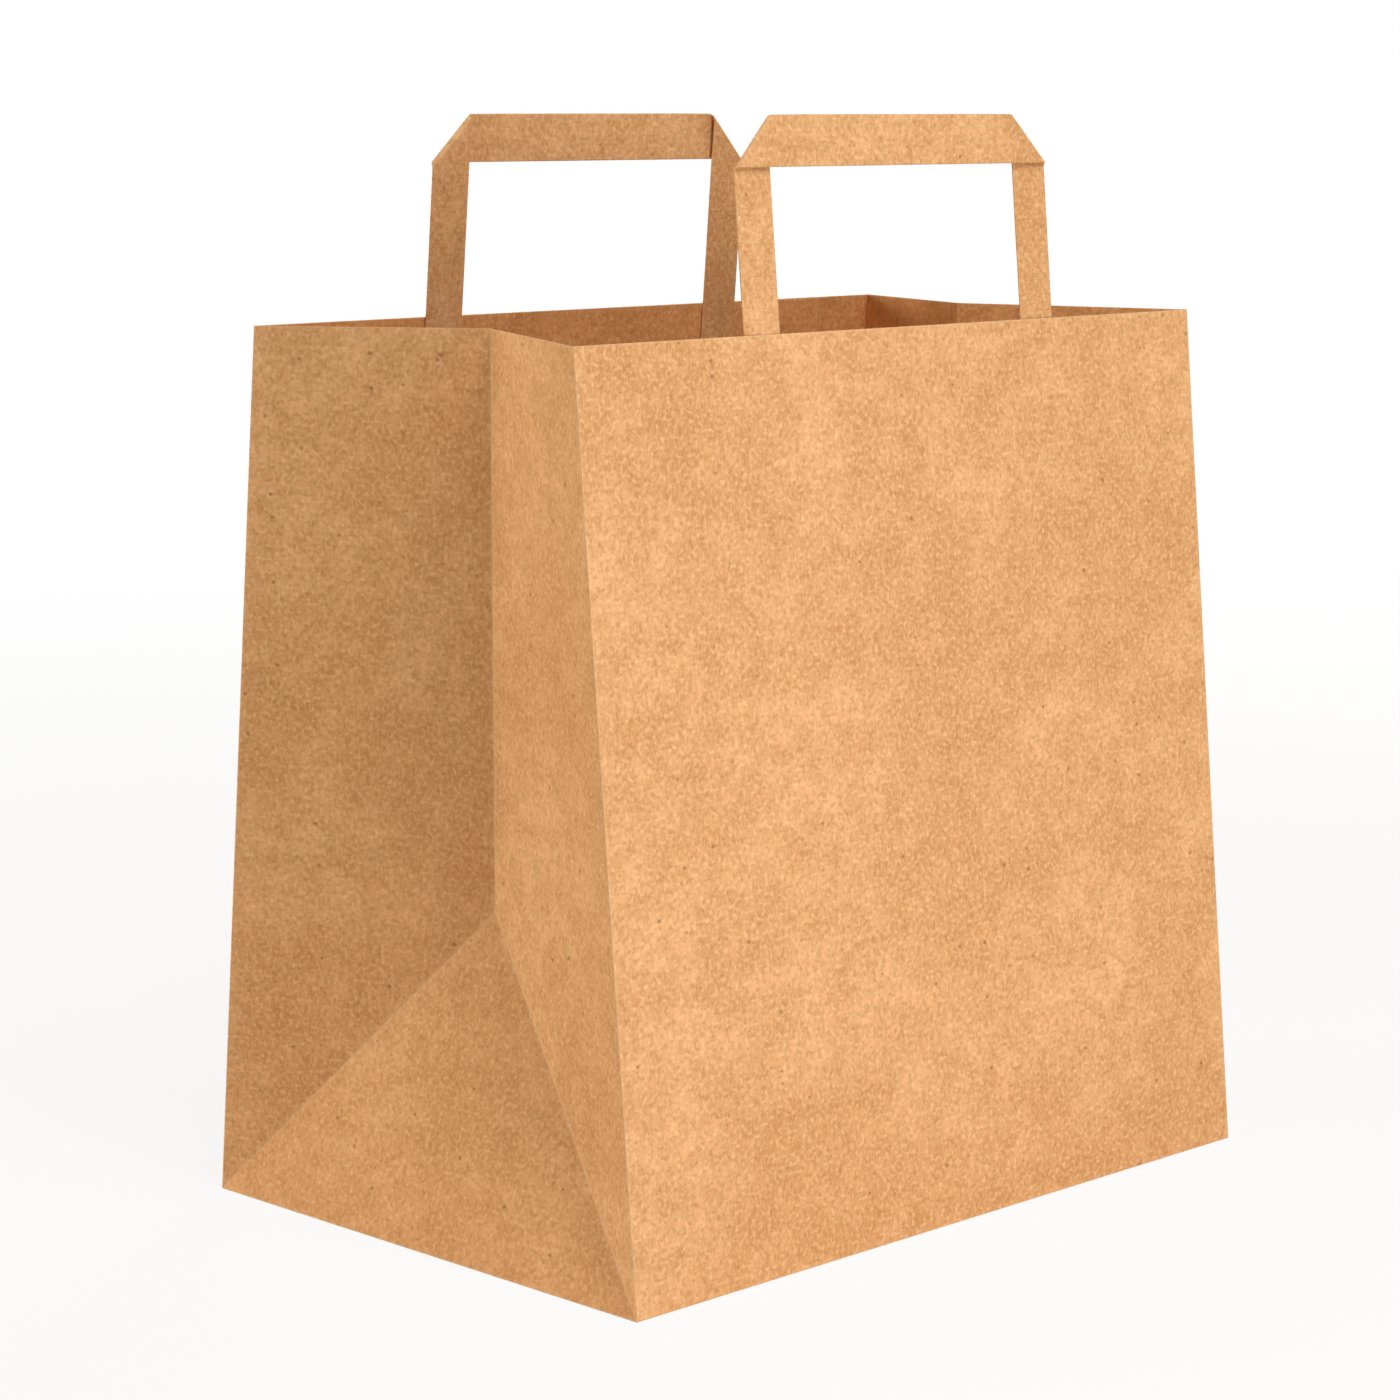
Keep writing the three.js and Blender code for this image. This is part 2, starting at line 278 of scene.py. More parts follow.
def sheetOfBag():
    parts = []
    seamX = halfWidth - bagShape["seamEdge"]
    cell, reach = bagShape["cell"], bagShape["tabReach"]
    up = gridSteps(bagShape["panelLength"], cell)
    frontSteps = gridSteps(bagShape["width"], cell)
    seamRows = bagShape["seamEdge"] - np.array(bagShape["seamRows"])
    backSteps = gridSteps(bagShape["width"], cell, extra=seamRows)
    gussetSteps = gridSteps(bagShape["gussetRun"], cell)
    baseSteps = gridSteps(bagShape["baseDepth"], cell)
    tabSteps = gridSteps(reach, cell)

    for end, steps in ((-1, frontSteps), (1, backSteps)):
        low, high = baseCorner(end, end), rimCorner(end, end)
        lowFar, highFar = baseCorner(-end, end), rimCorner(-end, end)
        points = spread([low, lowFar, highFar, high], steps, up)
        x, along = points[..., 0], np.broadcast_to(up[:, None], points.shape[:2]) * bagShape["panelLength"]
        folds = [(low, high), (lowFar, highFar), (low, lowFar)]
        held = smoothStep(np.min([lineDistance(points, *f) for f in folds], axis=0), bagShape["slackReach"])
        cuts = [(high, highFar, "cut")]
        for bowEnd, middle, height, wide, bow in bagShape["panelBows"]:
            if bowEnd == end:
                away = np.clip(np.hypot(x - middle, along - height) / wide, 0, 1)
                points = points + (bow * held * (1 - away ** 2) ** 2)[..., None] * panelOutward(end)
        if end > 0:
            past = x - seamX
            drop = bagShape["seamStep"] * (1 - smoothStep(past, bagShape["seamRun"]))
            drop = np.where(past > bagShape["seamSplit"], drop, 0)
            points = points - drop[..., None] * panelOutward(end)
            cuts.append((*lineDown(end, seamX, 0), "seam"))
        addPatch(parts, points, (-end, 0, 0), folds, cuts, held * heldByHandles(along),
                 panelPlace(end, x, along))

    for side in (-1, 1):
        apex, top = apexOf(side), creaseTop(side)
        for end in (-1, 1):
            low, high = baseCorner(side, end), rimCorner(side, end)
            corners = [low, apex, top, high] if side * end < 0 else [apex, low, high, top]
            points = spread(corners, gussetSteps, up)
            axis = (top - high) / np.linalg.norm(top - high) * (1 if side * end < 0 else -1)
            folds = [(low, high), (apex, top), (low, apex)]
            outward = np.cross(points[0, -1] - points[0, 0], points[-1, 0] - points[0, 0])
            nearest = np.min([lineDistance(points, *f) for f in folds], axis=0)
            bow = bagShape["gussetBow"] * smoothStep(nearest, bagShape["gussetBowReach"])
            fade = bagShape["gussetBowFade"]
            bow = bow * (1 - smoothStep(up - fade, 1 - fade))[:, None]
            points = points + bow[..., None] * outward / np.linalg.norm(outward)
            addPatch(parts, points, axis, folds, [(high, top, "cut")])
        near, far = baseCorner(side, side), baseCorner(side, -side)
        points = spread([far, near, apex, apex], baseSteps, gussetSteps)
        folds = [(far, near), (far, apex), (near, apex)]
        addPatch(parts, points, (0, side, 0), folds)

    # The bottom: a tab from each panel, the back one outermost, and a flap from each side above them
    for end, steps in ((-1, frontSteps), (1, backSteps)):
        inner = halfWidth - reach
        start, stop = baseCorner(-end, end), baseCorner(end, end)
        edge = end * (bagShape["baseDepth"] / 2 - reach)
        points = spread([start, stop, (end * inner, edge, 0), (-end * inner, edge, 0)],
                        1 - steps[::-1], tabSteps)
        if end < 0:
            climb = bagShape["tabClimb"]
            points[..., 2] += bagShape["tabLevel"] * smoothStep(points[..., 1] + edge + climb, climb)
        near, far = (end * inner, edge, 0), (-end * inner, edge, 0)
        cuts = [(near, far, "tab"), (stop, near, "tab"), (start, far, "tab")]
        addPatch(parts, points, (end, 0, 0), [(start, stop)], cuts, 0)
    for side in (-1, 1):
        inner = side * (halfWidth - reach)
        start, stop = baseCorner(side, side), baseCorner(side, -side)
        flapEnd = bagShape["baseDepth"] / 2 - bagShape["flapInset"]
        points = spread([start, stop, (inner, -side * flapEnd, 0), (inner, side * flapEnd, 0)],
                        baseSteps, tabSteps)
        climbed = smoothStep(halfWidth - np.abs(points[..., 0]), bagShape["flapClimb"])
        flapLevel = 2 * bagShape["tabLevel"]
        points[..., 2] += flapLevel * climbed
        cuts = [((inner, -1, flapLevel), (inner, 1, flapLevel), "cut")]
        addPatch(parts, points, (0, -side, 0), [(start, stop)], cuts, 0)
        # The corners folded in under the tabs, with their outer side up against the flaps
        for end in (-1, 1):
            x, y = halfWidth - bagShape["cornerInset"], bagShape["baseDepth"] / 2 - bagShape["cornerInset"]
            level, folded = flapLevel - clearOf, bagShape["cornerReach"]
            corner = (side * x, end * y, level)
            square = (side * (x - folded), end * y, level)
            tip = (side * (x - folded), end * (y - folded), level)
            corners = [corner, square, tip, tip] if side * end > 0 else [square, corner, tip, tip]
            coarse = np.linspace(0, 1, bagShape["cornerRows"])
            addPatch(parts, spread(corners, coarse, coarse), (side * end, 0, 0))

    # The seam's hidden layer, inside the back panel: it runs out of the panel's own paper
    layerWidth = bagShape["seamOverlap"] + bagShape["seamTuck"]
    layerStart = seamX - bagShape["seamOverlap"]
    x = layerStart + gridSteps(layerWidth, bagShape["seamCell"])[None, ::-1] * layerWidth
    along = up[:, None] * (bagShape["panelLength"] - bagShape["seamShort"]) + bagShape["seamRise"]
    level = clearOf + bagShape["seamStep"] * (1 - smoothStep(x - seamX, bagShape["seamRun"]))
    points = panelPoints(1, x, along - bagShape["panelLength"], level)
    flat = np.stack(np.broadcast_arrays(x, 0.0, along), axis=-1)
    edges = [(halfWidth, 0, 0), (halfWidth, 0, 1)], [(0, 0, 0), (1, 0, 0)]
    held = smoothStep(np.min([lineDistance(flat, *e) for e in edges], axis=0), bagShape["slackReach"])
    cut = (*lineDown(1, layerStart, clearOf + bagShape["seamStep"]), "cut")
    addPatch(parts, points, (-1, 0, 0), (), [cut], held * heldByHandles(along), panelPlace(1, x, along),
             panelOutward(1))
    return joinedSheet("foldedSheet", parts)


# Slow waves of the paper and its small dents. The heights and sizes are in mm
waveShape = {"Wave Height": 0.5, "Wave Size": 90.0, "Dent Height": 0.1, "Dent Size": 22.0}
waveSeed = 3.0
noiseSwing = 3.0  # brings the noise about its middle up to roughly plus or minus one


def wavesTree():
    tree = bpy.data.node_groups.new("paperWaves", "GeometryNodeTree")
    socket = tree.interface.new_socket
    socket(name="Geometry", in_out="INPUT", socket_type="NodeSocketGeometry")
    for name in (*waveShape, "Seed"):
        socket(name=name, in_out="INPUT", socket_type="NodeSocketFloat")
    socket(name="Material", in_out="INPUT", socket_type="NodeSocketMaterial")
    socket(name="Geometry", in_out="OUTPUT", socket_type="NodeSocketGeometry")
    given = addNode(tree, "NodeGroupInput").outputs
    place = addNode(tree, "GeometryNodeInputNamedAttribute", {"Name": "wavePlace"}, data_type="FLOAT_VECTOR")
    way = addNode(tree, "GeometryNodeInputNamedAttribute", {"Name": "waveWay"}, data_type="FLOAT_VECTOR")
    slack = addNode(tree, "GeometryNodeInputNamedAttribute", {"Name": "slack"}, data_type="FLOAT")
    heights = []
    for size, height in (("Wave Size", "Wave Height"), ("Dent Size", "Dent Height")):
        scale = addNode(tree, "ShaderNodeMath", {0: 1.0, 1: given[size]}, operation="DIVIDE")
        noise = addNode(tree, "ShaderNodeTexNoise", {
            "Vector": place.outputs[0], "W": given["Seed"], "Scale": scale.outputs[0], "Detail": 1.0,
        }, noise_dimensions="4D")
        centred = addNode(tree, "ShaderNodeMath", {0: noise.outputs[0], 1: 0.5}, operation="SUBTRACT")
        swing = addNode(tree, "ShaderNodeMath", {0: centred.outputs[0], 1: noiseSwing}, operation="MULTIPLY")
        heights.append(addNode(tree, "ShaderNodeMath", {0: swing.outputs[0], 1: given[height]},
                               operation="MULTIPLY").outputs[0])
    both = addNode(tree, "ShaderNodeMath", {0: heights[0], 1: heights[1]}, operation="ADD")
    held = addNode(tree, "ShaderNodeMath", {0: both.outputs[0], 1: slack.outputs[0]}, operation="MULTIPLY")
    offset = addNode(tree, "ShaderNodeVectorMath", {0: way.outputs[0], "Scale": held.outputs[0]},
                     operation="SCALE")
    moved = addNode(tree, "GeometryNodeSetPosition", {"Geometry": given["Geometry"],
                                                      "Offset": offset.outputs[0]})
    real = addNode(tree, "GeometryNodeRealizeInstances", {"Geometry": moved.outputs[0]})
    painted = addNode(tree, "GeometryNodeSetMaterial", {"Geometry": real.outputs[0],
                                                        "Material": given["Material"]})
    addNode(tree, "NodeGroupOutput", {0: painted.outputs[0]})
    return tree


# Runs a tree on a piece and keeps the result as its plain mesh
def settled(piece, tree, values):
    modifier = piece.modifiers.new(tree.name, "NODES")
    modifier.node_group = tree
    for item in tree.interface.items_tree:
        if item.item_type == "SOCKET" and item.in_out == "INPUT" and item.name in values:
            modifier[item.identifier] = values[item.name]
    depsgraph = bpy.context.evaluated_depsgraph_get()
    mesh = bpy.data.meshes.new_from_object(piece.evaluated_get(depsgraph), preserve_all_data_layers=True,
                                           depsgraph=depsgraph)
    piece.modifiers.clear()
    piece.data = mesh
    mesh.name = piece.name
    return piece


def thickened(piece, thickness, innerPaperWithPaintedShade=None):
    solid = piece.modifiers.new("paper", "SOLIDIFY")
    # The inner side gets its own browner paper, which carries painted shade for the dim inside of the bag
    if innerPaperWithPaintedShade:
        piece.data.materials.append(innerPaperWithPaintedShade)
        solid.material_offset = 1
    solid.thickness = thickness * mm
    solid.offset = -1
    solid.use_even_offset = True
    return piece


tapeShape = {
    "width": 14.3,
    "thickness": 0.56,  # four plies
    "outside": 65.5,  # middle of the handle to the outside of a leg
    "gripTop": 60.0,  # above the rim, along the panel
    "legBelowRim": 60.0,
    "level": 0.72,  # middle of a leg, in from the panel's outer face
    "foldRadius": {"front": 0.66, "back": 0.85},  # middle of the tape round the fold
    "gripTilt": 0.055,  # the springy folds let a grip lean outwards
    "gripTiltStart": 9.0,  # over which a grip takes up its tilt, from its folds
    "foldRows": 0.13,  # between the rows of points at a fold
    "foldRowsReach": 3.0,  # how far from a fold the close rows go
    "rowGap": 0.1,  # from the last of those rows to the next of the others
    "gripRows": 22,
    "legRows": 44,
    "flatRows": (-1, -0.985, -0.93, -0.6, -0.2, 0.2, 0.6, 0.93, 0.985, 1),  # across a flat face, as shares
    "edgeRows": 5,  # round an edge
    "slantRun": 26.0,  # over which the rows turn back from the fold's slant to square
    "edgeWear": (0.6, 0.05, 0.15),  # where the wear of an edge begins, its share at the round and at the edge
    "foldWear": 0.6,
}


# A flat tape with rounded edges, its rows parallel to the fold where it will be folded
def flatTape(name):
    half, r = tapeShape["width"] / 2, tapeShape["thickness"] / 2
    gripMiddle = tapeShape["gripTop"] - half
    foldAt = tapeShape["outside"] - half
    legEnd = tapeShape["outside"] + gripMiddle - half + tapeShape["legBelowRim"]
    near, gap = tapeShape["foldRowsReach"], tapeShape["rowGap"]
    row = np.concatenate([np.linspace(0, foldAt - near, tapeShape["gripRows"]),
                          np.arange(foldAt - near + gap, foldAt + near, tapeShape["foldRows"]),
                          np.linspace(foldAt + near + gap, legEnd, tapeShape["legRows"])])
    row = np.concatenate([-row[:0:-1], row])
    # Once round the tape: a flat face, a round edge, the other face and the other edge
    flat = np.array(tapeShape["flatRows"]) * (half - r)
    turn = np.linspace(-math.pi / 2, math.pi / 2, tapeShape["edgeRows"] + 2)[1:-1]
    across = np.concatenate([flat, half - r + r * np.cos(turn), flat[::-1], -(half - r) - r * np.cos(turn)])
    face = np.full(len(flat), r)
    through = np.concatenate([-face, r * np.sin(turn), face, -r * np.sin(turn)])
    wearStart, roundWear, outerWear = tapeShape["edgeWear"]
    wear = np.interp(np.abs(across), [half - wearStart, half - r, half], [0, roundWear, outerWear])
    slant = 1 - smoothStep(np.abs(np.abs(row) - foldAt) - near, tapeShape["slantRun"])
    x = row[:, None] - np.sign(row)[:, None] * across[None, :] * slant[:, None]
    points = np.stack(np.broadcast_arrays(x, gripMiddle + across[None, :], through[None, :]), axis=-1)
    rows, columns = points.shape[:2]
    index = np.arange(rows * columns).reshape(rows, columns)
    turned = np.roll(index, -1, axis=1)
    faces = np.stack([index[:-1], turned[:-1], turned[1:], index[1:]], axis=-1).reshape(-1, 4).tolist()
    faces += [index[0, ::-1].tolist(), index[-1].tolist()]
    mesh = bpy.data.meshes.new(name)
    mesh.from_pydata((points.reshape(-1, 3) * mm).tolist(), [], faces)
    place = points.reshape(-1, 3)[np.concatenate([np.array(f) for f in faces])]
    # The two faces of the tape lie a little apart on the paper's UV map, so an edge isn't a streak
    uv = np.stack([place[:, 0], place[:, 1] + 0.7 * place[:, 2]], axis=-1)
    mesh.uv_layers.new(name="sheetUv").data.foreach_set("uv", (uv * mm).astype(np.float32).ravel())
    attribute = mesh.attributes.new("wear", "FLOAT", "POINT")
    attribute.data.foreach_set("value", np.tile(wear, rows).astype(np.float32))
    mesh.shade_smooth()
    piece = bpy.data.objects.new(name, mesh)
    bpy.context.scene.collection.objects.link(piece)
    return piece


def foldedTapeTree(waves):
    tree = bpy.data.node_groups.new("foldedTape", "GeometryNodeTree")
    socket = tree.interface.new_socket
    socket(name="Geometry", in_out="INPUT", socket_type="NodeSocketGeometry")
    for name in ("Outside", "Fold Radius", "Level", "Lean", "Mouth Half Depth", "Rim Height",
                 "Panel Length", "End", "Grip Low", "Grip Tilt", "Tilt Start", "Slack", *waveShape, "Seed"):
        socket(name=name, in_out="INPUT", socket_type="NodeSocketFloat")
    socket(name="Material", in_out="INPUT", socket_type="NodeSocketMaterial")
    socket(name="Geometry", in_out="OUTPUT", socket_type="NodeSocketGeometry")
    given = addNode(tree, "NodeGroupInput").outputs

    position = addNode(tree, "GeometryNodeInputPosition").outputs[0]
    flat = addNode(tree, "ShaderNodeSeparateXYZ", {0: position}).outputs
    known = {socket.name: socket for socket in given}
    known.update(flatX=flat[0], flatY=flat[1], through=flat[2], root=math.sqrt(0.5))
    # Each row is one Math node: the name of its result, what it does and what goes in
    for name, operation, *terms in (
        ("side", "SIGN", "flatX"),
        ("x", "ABSOLUTE", "flatX"),
        ("halfTurn", "MULTIPLY", "Fold Radius", math.pi),
        ("allowance", "MULTIPLY", "halfTurn", "root"),
        # The fold line is x + y = line, and past is how far a point lies beyond it
        ("line", "SUBTRACT", "Outside", "allowance"),
        ("diagonal", "ADD", "x", "flatY"),
        ("beyondLine", "SUBTRACT", "diagonal", "line"),
        ("past", "MULTIPLY", "beyondLine", "root"),
        ("before", "MINIMUM", "past", 0.0),
        ("entered", "MAXIMUM", "past", 0.0),
        ("inRound", "MINIMUM", "entered", "halfTurn"),
        ("left", "SUBTRACT", "past", "halfTurn"),
        ("beyond", "MAXIMUM", "left", 0.0),
        ("angle", "DIVIDE", "inRound", "Fold Radius"),
        ("sineOfAngle", "SINE", "angle"),
        ("cosineOfAngle", "COSINE", "angle"),
        ("arm", "SUBTRACT", "Fold Radius", "through"),
        ("swung", "MULTIPLY_ADD", "arm", "sineOfAngle", "before"),
        ("reach", "SUBTRACT", "swung", "beyond"),
        ("dropped", "MULTIPLY", "arm", "cosineOfAngle"),
        ("depth", "SUBTRACT", "Fold Radius", "dropped"),
        ("back", "SUBTRACT", "reach", "past"),
        ("shift", "MULTIPLY", "back", "root"),
        ("foldedSide", "ADD", "x", "shift"),
        ("foldedX", "MULTIPLY", "foldedSide", "side"),
        ("foldedY", "ADD", "flatY", "shift"),
        # depth is zero at the grip's middle and two radii at a leg's
        ("twoRadii", "MULTIPLY", "Fold Radius", 2.0),
        ("fromLeg", "SUBTRACT", "depth", "twoRadii"),
        ("upright", "ADD", "fromLeg", "Level"),
        # A grip tilts about its lower edge, and not at all at its folds. The share runs from 0 to -1
        ("untilted", "DIVIDE", "before", "Tilt Start"),
        ("tiltShare", "MAXIMUM", "untilted", -1.0),
        ("aboveLow", "SUBTRACT", "flatY", "Grip Low"),
        ("tilted", "MULTIPLY", "aboveLow", "Grip Tilt"),
        ("inward", "MULTIPLY_ADD", "tilted", "tiltShare", "upright"),
        ("sine", "SINE", "Lean"),
        ("cosine", "COSINE", "Lean"),
        ("inwardFlat", "MULTIPLY", "inward", "cosine"),
        ("leanedIn", "MULTIPLY_ADD", "foldedY", "sine", "inwardFlat"),
        ("fromMiddle", "SUBTRACT", "Mouth Half Depth", "leanedIn"),
        ("worldY", "MULTIPLY", "fromMiddle", "End"),
        ("inwardDrop", "MULTIPLY", "inward", "sine"),
        ("raised", "MULTIPLY_ADD", "foldedY", "cosine", "Rim Height"),
        ("worldZ", "SUBTRACT", "raised", "inwardDrop"),
        ("placeY", "MULTIPLY", "End", waveSpacing * mm),
        ("along", "ADD", "foldedY", "Panel Length"),
        ("wayY", "MULTIPLY", "End", "cosine"),
        ("foldWear", "MULTIPLY", "sineOfAngle", tapeShape["foldWear"]),
    ):
        terms = {i: known.get(term, term) for i, term in enumerate(terms)}
        known[name] = addNode(tree, "ShaderNodeMath", terms, operation=operation).outputs[0]
    world, place, way = (
        addNode(tree, "ShaderNodeCombineXYZ", {i: known[key] for i, key in enumerate(keys) if key}).outputs[0]
        for keys in (("foldedX", "worldY", "worldZ"), ("foldedX", "placeY", "along"), ("", "wayY", "sine"))
    )
    oldWear = addNode(tree, "GeometryNodeInputNamedAttribute", {"Name": "wear"}, data_type="FLOAT").outputs[0]
    wear = addNode(tree, "ShaderNodeMath", {0: oldWear, 1: known["foldWear"]}, operation="MAXIMUM").outputs[0]

    geometry = given["Geometry"]
    for name, kind, value in (("wavePlace", "FLOAT_VECTOR", place), ("waveWay", "FLOAT_VECTOR", way),
                              ("slack", "FLOAT", given["Slack"]), ("wear", "FLOAT", wear)):
        geometry = addNode(tree, "GeometryNodeStoreNamedAttribute", {
            "Geometry": geometry, "Name": name, "Value": value,
        }, data_type=kind, domain="POINT").outputs[0]
    geometry = addNode(tree, "GeometryNodeSetPosition", {"Geometry": geometry, "Position": world}).outputs[0]
    waved = addNode(tree, "GeometryNodeGroup", node_tree=waves)
    tree.links.new(geometry, waved.inputs["Geometry"])
    for name in (*waveShape, "Seed", "Material"):
        tree.links.new(given[name], waved.inputs[name])
    real = addNode(tree, "GeometryNodeRealizeInstances", {"Geometry": waved.outputs[0]})
    painted = addNode(tree, "GeometryNodeSetMaterial", {"Geometry": real.outputs[0],
                                                        "Material": given["Material"]})
    addNode(tree, "NodeGroupOutput", {0: painted.outputs[0]})
    return tree


patchShape = {
    "besideLeg": 12.0,
    "height": 50.0,
    "belowLeg": 3.0,
    "slope": 3.0,  # run over which the strip climbs onto a leg
    "level": 0.44,  # in from the panel's outer face
    "rise": 0.86,  # a leg and its glue under the strip
    "besideFit": 0.3,  # how far from a leg's edge the strip begins to come down
    "belowSteeper": 1.1,  # it comes down faster below a leg's end than beside it
    "acrossCell": 1.4,
    "upCell": 1.8,
}


def patchStrip(name, end):
    parts = []
    outside, inside = tapeShape["outside"], tapeShape["outside"] - tapeShape["width"]
    halfSpan = outside + patchShape["besideLeg"]
    low = -tapeShape["legBelowRim"] - patchShape["belowLeg"]
    across = gridSteps(2 * halfSpan, patchShape["acrossCell"])
    up = gridSteps(patchShape["height"], patchShape["upCell"])
    x = end * halfSpan * (1 - 2 * across)[None, :] * np.ones((len(up), 1))
    rise = (low + up * patchShape["height"])[:, None] * np.ones((1, len(across)))
    beside = np.maximum(np.maximum(inside - np.abs(x), np.abs(x) - outside), 0)
    below = np.maximum(-tapeShape["legBelowRim"] - rise, 0)
    away = np.hypot(beside, below * patchShape["belowSteeper"])
    lift = 1 - smoothStep(away - patchShape["besideFit"], patchShape["slope"])
    # The strip faces outwards on the panel's side, and the paper's thickness is added inwards
    points = panelPoints(end, x, rise, patchShape["level"] + patchShape["rise"] * lift)
    high = low + patchShape["height"]
    outline = [panelPoints(end, x0, y0, patchShape["level"]) for x0, y0 in (
        (-halfSpan, low), (halfSpan, low), (halfSpan, high), (-halfSpan, high))]
    cuts = [(outline[i - 1], outline[i], "cut") for i in range(4)]
    place = panelPlace(end, x, rise + bagShape["panelLength"])
    addPatch(parts, points, (-end, 0, 0), (), cuts, np.full(x.shape, bagShape["rimSlack"]), place,
             panelOutward(end))
    return joinedSheet(name, parts)


kraft = {
    "sheet": "#F2BA83",
    "dense": "#C0803F",  # where the pulp lies thicker or a fibre is darker
    "pale": "#FFDBA8",  # bleached fibres, seen at the surface
    "speck": "#85552A",  # bark and knots left in the pulp
    "cut": "#F6CFA2",  # torn and cut fibres at an edge
    # Layers of pulp: colour, lattice in mm, octaves, their falloff, where the noise starts and ends, share
    "pulp": (
        ("dense", 60.0, 1.0, 0.5, 0.3, 0.7, 0.3),  # clouds of thicker pulp
        ("dense", 14.0, 1.0, 0.6, 0.3, 0.7, 0.28),  # the web's cloudy formation
        ("dense", 5.0, 1.0, 0.6, 0.3, 0.7, 0.28),  # tufts of fibres
        ("dense", 1.7, 1.0, 0.6, 0.4, 0.76, 0.42),  # darker fibres end on
        ("pale", 1.3, 0.5, 0.6, 0.5, 0.8, 0.36),  # paler fibres end on
    ),
    "webStretch": 0.82,  # the pulp's pattern lies a little wider than high
    "strokeSize": 1.9,  # lattice of the fibres that lie flat, before they are drawn out
    "strokeStretch": 3.2,
    "strokeTurns": (0.15, 1.25, 2.3),
    "strokeShare": 0.22,
    "strokeLimits": (0.58, 0.7),  # where the noise begins to be a fibre, and where it is wholly one
    "speckCell": 9.0,  # one speck or none to each cell
    "speckChance": 0.6,  # share of the cells without a speck
    "speckSize": 0.09,  # radius of the largest speck, as a share of a cell
    "speckEdge": 0.05,
    "speckShare": 0.6,
    "wearShare": 0.45,
    "bump": (0.4, 0.05),  # strength, and the height of the fibres in mm
    "roughness": (0.78, 0.92),
    "roughLimits": (0.3, 0.7),  # where the noise of the paler fibres begins and ends to roughen the paper
    "ior": 1.5,  # cellulose
    "specularLevel": 0.3,  # loose fibres leave little gloss
    # The sheet's inner side is the rough side of the paper, browner than the smoothed outside: that tint is
    # partly the rough side's own tone and partly painted shade for the dim inside of the bag.
    # Each paper's tint, and where on the web it was cut from
    "papers": {
        "smoothedKraftOutside": ((1.0, 1.0, 1.0), 0.137),
        # Partly painted shade: the inner side is tinted browner for the dim inside of the bag
        "roughKraftInsideWithPaintedShade": ((1.0, 0.91, 0.79), 0.57),
        "foldedKraftTape": ((0.98, 0.98, 0.98), 0.41),
        # The strips glued inside the bag take nearly the inner side's browner tint: painted shade for the dim
        # inside of the bag
        "gluedKraftStrip": ((0.97, 0.89, 0.78), 0.83),
    },
}


